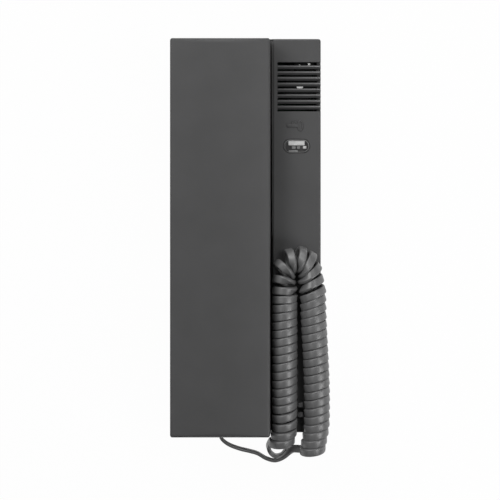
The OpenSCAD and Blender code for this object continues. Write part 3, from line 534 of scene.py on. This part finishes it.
class CurlyLine:
    """Middle line and band directions of the curly cord, by number of curls from its foot."""

    def __init__(self, sizes):
        self.sizes = sizes
        self.mid_x = sizes.left_x + sizes.spread / 2
        self.total = sizes.left_turns + sizes.bend_turns + sizes.right_turns

    def hairpin(self, share):
        """Inner side of the bend: up one side of a narrow hairpin and down the other."""
        sizes = self.sizes
        whole = sizes.bend_turns * sizes.hairpin_pitch
        arc = math.pi * sizes.hairpin_radius
        run = (whole - arc) / 2
        along = share * whole
        angle = math.pi * (1 - clamped((along - run) / arc))
        x = self.mid_x - sizes.bend_shift + sizes.hairpin_radius * math.cos(angle)
        y = sizes.bend_y + min(along, whole - along, run) + sizes.hairpin_radius * math.sin(angle)
        return Vector((x, y))

    def crown(self, share):
        """Outer side of the bend: a smooth curve through the tips of its curls."""
        tip = curve_point(in_metres(CROWN_TIPS), 1 + self.sizes.bend_turns * share)
        return Vector((self.mid_x, self.sizes.bend_y)) + tip

    def past(self, turn):
        """Curls from the bend along either leg; inside the bend there are none."""
        sizes = self.sizes
        if turn < sizes.left_turns:
            return sizes.left_turns - turn
        return max(turn - sizes.left_turns - sizes.bend_turns, 0)

    def lean(self, share, past):
        """How much higher the outer side of a curl lies, from the left leg to the right one."""
        sizes = self.sizes
        most = part_way(sizes.left_lean, sizes.right_lean, share)
        turns = part_way(sizes.left_lean_turns, sizes.right_lean_turns, share)
        kept = part_way(sizes.left_kept_lean, sizes.right_kept_lean, share)
        whole = part_way(sizes.left_turns, sizes.right_turns, share)
        along = smooth_step(past / sizes.lean_change) * smooth_step((whole - past) / sizes.lean_fade)
        return most * max(1 - past / turns, 0) ** 2 + kept * along

    def leg_shift(self, turn):
        """How far a curl lies to the side of its leg and down from the bend."""
        sizes = self.sizes
        past = self.past(turn)
        if turn < sizes.left_turns:
            foot = closing(past, sizes.left_turns, sizes.foot_turns)
            drawn = sizes.slack * smooth_step((past - sizes.tight_turns) / sizes.slack_turns)
            return Vector((-sizes.foot_swing * foot, sizes.end_squeeze * foot - drawn - sizes.pitch * past))
        squeezed = sizes.end_squeeze * closing(past, sizes.right_turns, sizes.squeeze_turns)
        swing = sizes.swing_in * closing(past, sizes.right_turns, sizes.swing_turns)
        bow = sizes.leg_bow * math.sin(math.pi * past / sizes.bow_turns) ** 2
        return Vector((bow - swing, squeezed - sizes.right_pitch * past))

    def rails(self, turn):
        """Inner and outer point of a curl, and how far it belongs to the bend."""
        sizes = self.sizes
        left = turn < sizes.left_turns
        past = self.past(turn)
        share = clamped((turn - sizes.left_turns) / sizes.bend_turns)
        in_bend = smooth_step(1 - past)
        lean = Vector((0, self.lean(share, past)))
        leg = Vector((sizes.left_x if left else sizes.left_x + sizes.spread, sizes.bend_y))
        reach = Vector((-sizes.coil_radius if left else sizes.coil_radius, 0))
        inner = (leg - reach - lean).lerp(self.hairpin(share), in_bend)
        outer = (leg + reach + lean).lerp(self.crown(share), in_bend)
        shift = self.leg_shift(turn)
        return inner + shift, outer + shift, in_bend

    def upward(self, turn):
        """Direction from the middle of a curl to its front; the curls tilt more towards the ends."""
        sizes = self.sizes
        most = sizes.left_end_tilt if turn < sizes.left_turns else sizes.right_end_tilt
        tilt = part_way(sizes.tilt_at_bend, most, (self.past(turn) / sizes.right_turns) ** 2)
        return Vector((0, -math.sin(tilt), math.cos(tilt)))

    def point(self, turn):
        """Middle of the cord at a number of curls."""
        sizes = self.sizes
        inner, outer, in_bend = self.rails(turn)
        angle = math.tau * turn
        flat = (inner + outer) / 2 + (outer - inner) / 2 * math.cos(angle)
        level = sizes.coil_height + sizes.bend_lift * in_bend
        return Vector((flat.x, flat.y, level)) + self.upward(turn) * sizes.coil_radius * math.sin(angle)

    def heading(self, turn):
        """Direction in which the cord runs."""
        return (self.point(turn + HEADING_STEP) - self.point(turn - HEADING_STEP)).normalized()

    def axes(self, turn):
        """Directions of the band's thickness and width; inside the bend the band stands on edge."""
        inner, outer, in_bend = self.rails(turn)
        out = (outer - inner).normalized()
        angle = math.tau * turn
        heading = self.heading(turn)
        spoke = Vector((out.x, out.y, 0)) * math.cos(angle) + self.upward(turn) * math.sin(angle)
        thin = (spoke - heading * spoke.dot(heading)).normalized()
        wide = heading.cross(thin)
        roll = math.pi / 2 * in_bend * ((1 - math.cos(angle)) / 2) ** 2
        return thin * math.cos(roll) + wide * math.sin(roll), wide * math.cos(roll) - thin * math.sin(roll)

    def ring(self, turn):
        """Ring frame of the band at a number of curls."""
        return ring_frame(self.point(turn), *self.axes(turn))


def ring_frame(point, thin, wide):
    """Place of one ring of the band: its thickness along the first axis and its width along the second."""
    ahead = thin.cross(wide)
    return Matrix((
        (thin.x, wide.x, ahead.x, point.x),
        (thin.y, wide.y, ahead.y, point.y),
        (thin.z, wide.z, ahead.z, point.z),
        (0, 0, 0, 1)))


def sweep(frames, sizes):
    """A closed flat band with rounded edges through a list of ring frames."""
    bm = bmesh.new()
    turned = Matrix.Rotation(math.pi / 4, 4, "Z")
    bmesh.ops.create_circle(bm, cap_ends=True, segments=4, radius=math.sqrt(0.5), matrix=turned)
    bmesh.ops.scale(bm, vec=(sizes.band_thickness, sizes.band_width, 1), verts=bm.verts)
    bevel(bm, bm.verts[:], sizes.band_edge, segments=4, affect="VERTICES")
    bmesh.ops.transform(bm, matrix=frames[0], verts=bm.verts)
    ring = bm.edges[:]
    for before, after in zip(frames, frames[1:]):
        grown = bmesh.ops.extrude_edge_only(bm, edges=ring)["geom"]
        verts = {item for item in grown if isinstance(item, bmesh.types.BMVert)}
        edges = [item for item in grown if isinstance(item, bmesh.types.BMEdge)]
        ring = [edge for edge in edges if verts.issuperset(edge.verts)]
        bmesh.ops.transform(bm, matrix=after @ before.inverted(), verts=list(verts))
    bmesh.ops.contextual_create(bm, geom=ring)
    bmesh.ops.recalc_face_normals(bm, faces=bm.faces)
    return bm


def tail_frames(points, first_wide, last_wide, twisted_by=1, flatness=1):
    """Ring frames of a free end, twisted within a share of its length and flattened after its start.

    Its first and last points only give the directions at the ends."""
    count = (len(points) - 3) * TAIL_RINGS
    line = [curve_point(points, 1 + k / TAIL_RINGS) for k in range(count + 1)]
    headings = [(line[min(k + 1, count)] - line[max(k - 1, 0)]).normalized() for k in range(count + 1)]
    headings[0] = (points[2] - points[0]).normalized()
    headings[-1] = (points[-1] - points[-3]).normalized()
    carried = [first_wide]
    for heading in headings:
        carried.append((carried[-1] - heading * carried[-1].dot(heading)).normalized())
    twist = carried[-1].angle(last_wide)
    if carried[-1].cross(last_wide).dot(headings[-1]) < 0:
        twist = -twist
    if abs(twist) > math.pi / 2:
        twist -= math.copysign(math.pi, twist)
    frames = []
    for k, (point, heading, wide) in enumerate(zip(line, headings, carried[1:])):
        wide = Matrix.Rotation(twist * smooth_step(k / count / twisted_by), 3, heading) @ wide
        thinned = part_way(1, flatness, smooth_step(k / count / FLATTENED_BY))
        frames.append(ring_frame(point, wide.cross(heading) * thinned, wide))
    return frames


def gland_mouth(box):
    """Middle of the outer end of a cord gland, at the lower side of the phone."""
    low, high = box
    return Vector(((low.x + high.x) / 2, low.y, (low.z + high.z) / 2))


class PHONE_OT_curly_cord(bpy.types.Operator):
    """Winds the curly cord and lays its two free ends"""

    bl_idname = "phone.curly_cord"
    bl_label = "Curly Cord"

    def execute(self, context):
        sizes = context.scene.phone_cord
        line = CurlyLine(sizes)
        rings = int(line.total * sizes.rings_per_turn)
        coil = [line.ring(k / sizes.rings_per_turn) for k in range(rings + 1)]
        start = line.point(0) - line.heading(0) * sizes.end_lead
        stop = line.point(line.total) + line.heading(line.total) * sizes.end_lead
        base_exit = gland_mouth(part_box("base_grommet"))
        handset_entry = gland_mouth(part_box("handset_grommet")) - Vector((0, sizes.entry_gap, 0))
        inward = Vector((0, sizes.gland_lead, 0))
        base_route = [base_exit + inward, base_exit, *in_metres(BASE_ROUTE), start, line.point(0)]
        handset_route = [line.point(line.total), stop, *in_metres(HANDSET_ROUTE), handset_entry]
        handset_route.append(handset_entry + inward)
        upright = Vector((0, 0, 1))
        first_axes = line.axes(0)
        last_axes = line.axes(line.total)
        foot = tail_frames(base_route, upright, first_axes[1])
        tail = tail_frames(handset_route, last_axes[1], upright, sizes.tail_twist, sizes.tail_flatness)
        whole = foot[:-1] + [ring_frame(start, *first_axes)] + coil + [ring_frame(stop, *last_axes)]
        sheath = cord_sheath(context.scene.phone_finish.cord)
        main = finish_piece("curly_cord", sweep(whole, sizes), sheath, "base", CORD_SMOOTH)
        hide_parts("cord_coil", "cord_tail_base")
        end = finish_piece("cord_end_to_handset", sweep(tail, sizes), sheath, None, CORD_SMOOTH)
        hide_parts("cord_tail_handset")
        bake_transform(end)
        return {"FINISHED"}


# Handset


class PHONE_OT_handset(bpy.types.Operator):
    """Dresses the shells and caps of the handset and the hook plunger under it"""

    bl_idname = "phone.handset"
    bl_label = "Handset"

    def execute(self, context):
        finish = context.scene.phone_finish
        skin = moulded_plastic("handset_plastic", finish.handset, rough=0.45, edge=finish.handset_edge)
        dress(skin, "handset_shell", "handset_back", "ear_cap", "mouth_cap", "hook_plunger")
        return {"FINISHED"}


# Base


class PHONE_OT_base(bpy.types.Operator):
    """Dresses the base and the inner pieces of the phone"""

    bl_idname = "phone.base"
    bl_label = "Base"

    def execute(self, context):
        finish = context.scene.phone_finish
        cover = moulded_plastic("base_plastic", finish.base, rough=0.45, edge=finish.base_edge)
        dress(cover, "front_cover", "back_plate")
        inner = moulded_plastic("inner_black_plastic", finish.dark, rough=0.5)
        dress(inner, "hook_switch", "door_switch", "earpiece")
        sounder = moulded_plastic("sounder_black", finish.dark, rough=0.9, shine=0.1)
        dress(sounder, "sounder_holder", "call_sounder")
        dress(moulded_plastic("carrier_grey", finish.carrier, rough=0.4), "button_carrier")
        rubber = moulded_plastic("black_rubber", finish.rubber, rough=0.6)
        dress(rubber, "earpiece_gasket", "microphone_boot", "handset_grommet", "base_grommet")
        dress(moulded_plastic("board_lacquer", finish.board, rough=0.5, shine=0.2), "circuit_board")
        dress(moulded_plastic("terminal_plastic", finish.dark, rough=0.8, shine=0.2), "terminal_block")
        # The sounder's disc glows with a painted reflection, though it is no lamp
        dress(moulded_plastic("disc_ceramic", finish.pale, rough=0.35, glow=finish.disc_painted_reflection), "sounder_disc")
        dress(bright_metal("bright_plating", finish.plating, rough=0.35), "terminal_screws", "microphone")
        zinc = bright_metal("zinc_plating", finish.zinc, rough=0.35)
        dress(zinc, "cover_screw", "handset_screws", "hook_spring")
        dress(bright_metal("cast_weight", finish.weight, rough=0.6), "handset_weight")
        return {"FINISHED"}


class PHONE_OT_louvre_edges(bpy.types.Operator):
    """Rounds the front edge of each louvre"""

    bl_idname = "phone.louvre_edges"
    bl_label = "Louvre Edges"

    def execute(self, context):
        grille = context.scene.phone_grille
        bm = bmesh.new()
        for k in range(grille.louvres):
            top = cover_high.y - grille.inset - k * grille.pitch
            high = Vector((cover_high.x - grille.end_gap, top, strip_face))
            far_end = cover_high.x - grille.edge_reach
            low = Vector((far_end, top - grille.edge_width, strip_face - grille.edge_depth))
            soft_block(bm, low, high, grille.edge_radius)
        # The louvre edges are lighter than the base plastic: a painted highlight on top of their real gloss
        glossy_painted_highlight = moulded_plastic("louvre_plastic", context.scene.phone_finish.louvre_painted_highlight, rough=0.3, shine=0.9)
        finish_piece("louvre_edges", bm, glossy_painted_highlight, "base")
        return {"FINISHED"}


# Reach and run, in millimetres, of the steps by which the groove's upper end follows the handset's corner
GROOVE_STEPS = ((0.85, 1.15), (1.55, 0.45))


def groove_lip(bm, low, high, groove):
    """A thin lip on the side of the strip that narrows the groove towards its upper end."""
    made = block(bm, low, high)
    middle = (low + high) / 2
    foot = [vert for vert in made if vert.co.x < middle.x and vert.co.y < middle.y]
    bmesh.ops.translate(bm, vec=(groove.lip_reach, 0, 0), verts=foot)
    bevel(bm, edges_of(made), groove.lip_edge, segments=2)


class PHONE_OT_groove_end(bpy.types.Operator):
    """Closes the upper end of the groove beside the handset and narrows the groove towards it"""

    bl_idname = "phone.groove_end"
    bl_label = "Groove End"

    def execute(self, context):
        groove = context.scene.phone_groove
        corner = Vector((groove.strip_left, cover_high.y - groove.edge, strip_face - groove.edge))
        high = corner + Vector((groove.edge, 0, 0))
        bm = bmesh.new()
        for reach, run in GROOVE_STEPS:
            soft_block(bm, corner - Vector((reach * MM, run * MM, groove.depth)), high, groove.edge)
        groove_lip(bm, corner - Vector((groove.lip_reach, groove.lip_run, groove.depth)), high, groove)
        plain = moulded_plastic("groove_plastic", context.scene.phone_finish.base, rough=0.45)
        finish_piece("groove_end", bm, plain, "base")
        return {"FINISHED"}


def raised_ring(centre, sign):
    """A new mesh with the oval ring of the key's bow, raised above the strip, with rounded edges."""
    bm = bmesh.new()
    bmesh.ops.create_circle(bm, cap_ends=True, segments=32, radius=0.5)
    bmesh.ops.scale(bm, vec=(sign.bow_width, sign.bow_height, 1), verts=bm.verts)
    bmesh.ops.translate(bm, vec=centre - Vector((0, 0, sign.relief)), verts=bm.verts)
    disc = bm.faces[:]
    bmesh.ops.inset_individual(bm, faces=disc, thickness=sign.bow_band, use_even_offset=True)
    bmesh.ops.delete(bm, geom=disc, context="FACES_ONLY")
    grown = bmesh.ops.extrude_face_region(bm, geom=bm.faces[:])["geom"]
    top = [item for item in grown if isinstance(item, bmesh.types.BMVert)]
    bmesh.ops.translate(bm, vec=(0, 0, 2 * sign.relief), verts=top)
    bmesh.ops.recalc_face_normals(bm, faces=bm.faces)
    raised = [edge for edge in edges_of(top) if all(vert.co.z > centre.z for vert in edge.verts)]
    rim = [edge for edge in raised if len({face.normal.z > LEVEL_NORMAL for face in edge.link_faces}) == 2]
    bevel(bm, rim, sign.edge_radius, segments=3)
    return bm


def raised_bar(bm, low, high, sign):
    """A flat bar of the key, raised above the strip, with rounded front edges."""
    made = block(bm, Vector((*low, strip_face - sign.relief)), Vector((*high, strip_face + sign.relief)))
    front = [edge for edge in edges_of(made) if all(vert.co.z > strip_face for vert in edge.verts)]
    bevel(bm, front, sign.edge_radius, segments=3)


class PHONE_OT_key_sign(bpy.types.Operator):
    """Raises the plain key sign on the strip above the button"""

    bl_idname = "phone.key_sign"
    bl_label = "Key Sign"

    def execute(self, context):
        sign = context.scene.phone_sign
        button = (lens_low + lens_high) / 2
        bow = Vector((button.x + sign.bow_shift, button.y + sign.above_button, strip_face))
        bm = raised_ring(bow, sign)
        shaft_end = bow.x - sign.bow_width / 2 + sign.bow_band / 2
        half = sign.shaft_width / 2
        raised_bar(bm, (shaft_end - sign.shaft_length, bow.y - half), (shaft_end, bow.y + half), sign)
        for reach in (sign.far_tooth, sign.near_tooth):
            root = (shaft_end - reach, bow.y + half - sign.tooth_root)
            raised_bar(bm, root, (root[0] + sign.tooth_width, bow.y + sign.tooth_reach), sign)
        plain = moulded_plastic("sign_plastic", context.scene.phone_finish.base, rough=0.45)
        finish_piece("key_sign", bm, plain, "base")
        return {"FINISHED"}


# Door button

# Angle between the faces of the lens that still looks smooth, in degrees
LENS_SMOOTH = 50


def lens_shape(sizes):
    """Clear button: a flange with a rounded body on it and a hollow under its front."""
    bm = bmesh.new()
    top = lens_low.z + sizes.flange
    stadium(bm, lens_low, Vector((lens_high.x, lens_high.y, top)))
    body = level_face(bm, top, 1)
    bmesh.ops.inset_region(bm, faces=[body], thickness=sizes.shoulder, use_even_offset=True)
    grown = bmesh.ops.extrude_discrete_faces(bm, faces=[body])["faces"]
    bmesh.ops.translate(bm, vec=(0, 0, lens_high.z - top), verts=grown[0].verts)
    bevel(bm, list(grown[0].edges), sizes.rim, segments=4)
    under = level_face(bm, lens_low.z, -1)
    bmesh.ops.inset_region(bm, faces=[under], thickness=sizes.shoulder + sizes.wall, use_even_offset=True)
    hollow = bmesh.ops.extrude_discrete_faces(bm, faces=[under])["faces"]
    bmesh.ops.translate(bm, vec=(0, 0, lens_high.z - sizes.roof - lens_low.z), verts=hollow[0].verts)
    bmesh.ops.remove_doubles(bm, verts=bm.verts, dist=JOIN_DISTANCE)
    bmesh.ops.recalc_face_normals(bm, faces=bm.faces)
    return bm


def pip(bm, sizes, shift, drop, wide, tall):
    """A small rounded block under the lens, placed from the middle of the reflector's lower edge."""
    left = (bar_low.x + bar_high.x - wide) / 2 + shift
    low = Vector((left, bar_low.y - drop - sizes.pip_height, bar_low.z))
    soft_block(bm, low, low + Vector((wide, sizes.pip_height, tall)), sizes.pip_edge)


def reflector_shape(sizes):
    """Pale bar along the top of the button and the pale pip at its right end."""
    bm = bmesh.new()
    soft_block(bm, bar_low, bar_high, sizes.reflector_edge)
    pip(bm, sizes, shift=4.5 * MM, drop=0.4 * MM, wide=1.9 * MM, tall=1.7 * MM)
    return bm


def contact_shape(sizes):
    """Grey pips under the bar and the sill along the lower side of the button."""
    bm = bmesh.new()
    pip(bm, sizes, shift=-1.5 * MM, drop=0.5 * MM, wide=2.1 * MM, tall=1.2 * MM)
    pip(bm, sizes, shift=1.1 * MM, drop=0.5 * MM, wide=1.7 * MM, tall=1 * MM)
    pip(bm, sizes, shift=-1.8 * MM, drop=2.6 * MM, wide=5 * MM, tall=0.7 * MM)
    return bm


class PHONE_OT_door_button(bpy.types.Operator):
    """Builds the clear door-release button and the pale pieces that show through it"""

    bl_idname = "phone.door_button"
    bl_label = "Door Button"

    def execute(self, context):
        finish = context.scene.phone_finish
        sizes = context.scene.phone_button
        clear = clear_plastic("clear_lens")
        lens = finish_piece("door_lens", lens_shape(sizes), clear, "button", LENS_SMOOTH)
        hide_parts("door_button")
        # The pale plastic glows: painted light on the reflector, which is no lamp
        pale = moulded_plastic("pale_plastic", finish.pale, rough=0.3, glow=finish.reflector_painted_glow)
        bar = finish_piece("reflector", reflector_shape(sizes), pale, "button")
        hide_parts("button_insert")
        grey = moulded_plastic("contact_grey", finish.contact, rough=0.3)
        finish_piece("contact_pips", contact_shape(sizes), grey, "button")
        dress(pale, "door_led")
        return {"FINISHED"}


# Stage

# Name, place and size of each lamp, in metres; its power is the setting of the same name
LAMPS = (
    ("key_lamp", (-0.5, 0.5, 0.75), 0.5),
    ("foot_lamp", (-0.58, -0.25, 0.92), 0.5),
    ("top_lamp", (0, 0.38, 0.25), 0.2),
    ("high_lamp", (0.25, 0.1, 0.6), 0.2),
    ("near_lamp", (0.3, -0.2, 0.32), 0.2),
    ("side_lamp", (0.75, 0.05, 0.32), 0.4),
)


def place_camera(scene, settings):
    """Camera that looks straight down on the front of the phone."""
    data = bpy.data.cameras.new("camera")
    camera = bpy.data.objects.new("camera", data)
    scene.collection.objects.link(camera)
    camera.location = (settings.camera_x, settings.camera_y, shell_high.z + settings.camera_height)
    data.lens = data.sensor_width * settings.camera_height / settings.view_width
    data.clip_start = settings.clip_start
    scene.camera = camera


def plain_world(scene, strength):
    """Even light from all round."""
    world = bpy.data.worlds.new("studio")
    scene.world = world
    world.use_nodes = True
    background = world.node_tree.nodes["Background"]
    background.inputs["Color"].default_value = (1, 1, 1, 1)
    background.inputs["Strength"].default_value = strength


def hang_lamp(scene, name, place, size, power):
    """A square lamp aimed at the middle of the phone."""
    data = bpy.data.lights.new(name, "AREA")
    data.size = size
    data.energy = power
    lamp = bpy.data.objects.new(name, data)
    scene.collection.objects.link(lamp)
    lamp.location = place
    lamp.rotation_euler = (-Vector(place)).to_track_quat("-Z", "Y").to_euler()


def lay_floor(scene, settings):
    """Wide white floor under the phone."""
    bm = bmesh.new()
    bmesh.ops.create_grid(bm, x_segments=2, y_segments=2, size=settings.floor_reach)
    mesh = bpy.data.meshes.new("floor")
    bm.to_mesh(mesh)
    bm.free()
    floor = bpy.data.objects.new("floor", mesh)
    scene.collection.objects.link(floor)
    mesh.materials.append(white_floor(settings.floor_white))


class PHONE_OT_stage(bpy.types.Operator):
    """Sets up the camera, the lamps and the white floor"""

    bl_idname = "phone.stage"
    bl_label = "Stage"

    def execute(self, context):
        scene = context.scene
        settings = scene.phone_stage
        scene.view_settings.view_transform = "Standard"
        place_camera(scene, settings)
        plain_world(scene, settings.sky)
        for name, place, size in LAMPS:
            hang_lamp(scene, name, place, size, getattr(settings, name))
        lay_floor(scene, settings)
        return {"FINISHED"}


# Add-on


class PHONE_PT_panel(bpy.types.Panel):
    """Lists the pieces of the phone in the sidebar"""

    bl_label = "Door Phone"
    bl_idname = "PHONE_PT_panel"
    bl_space_type = "VIEW_3D"
    bl_region_type = "UI"
    bl_category = "Door Phone"

    def draw(self, context):
        for operator in OPERATORS:
            self.layout.operator(operator.bl_idname)


SETTINGS = {
    "phone_stage": PhoneStageSettings,
    "phone_cord": PhoneCordSettings,
    "phone_sign": PhoneSignSettings,
    "phone_grille": PhoneGrilleSettings,
    "phone_groove": PhoneGrooveSettings,
    "phone_button": PhoneButtonSettings,
    "phone_finish": PhoneFinishSettings,
}
OPERATORS = (
    PHONE_OT_stage, PHONE_OT_curly_cord, PHONE_OT_handset, PHONE_OT_base, PHONE_OT_louvre_edges,
    PHONE_OT_groove_end, PHONE_OT_key_sign, PHONE_OT_door_button)


def register():
    for name, group in SETTINGS.items():
        bpy.utils.register_class(group)
        setattr(bpy.types.Scene, name, PointerProperty(type=group))
    for operator in OPERATORS:
        bpy.utils.register_class(operator)
    bpy.utils.register_class(PHONE_PT_panel)


def unregister():
    bpy.utils.unregister_class(PHONE_PT_panel)
    for operator in reversed(OPERATORS):
        bpy.utils.unregister_class(operator)
    for name, group in SETTINGS.items():
        delattr(bpy.types.Scene, name)
        bpy.utils.unregister_class(group)


def main():
    """Builds every piece."""
    register()
    bpy.ops.phone.stage()
    bpy.ops.phone.curly_cord()
    bpy.ops.phone.handset()
    bpy.ops.phone.base()
    bpy.ops.phone.louvre_edges()
    bpy.ops.phone.groove_end()
    bpy.ops.phone.key_sign()
    bpy.ops.phone.door_button()
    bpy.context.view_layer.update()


if __name__ == "__main__":
    main()
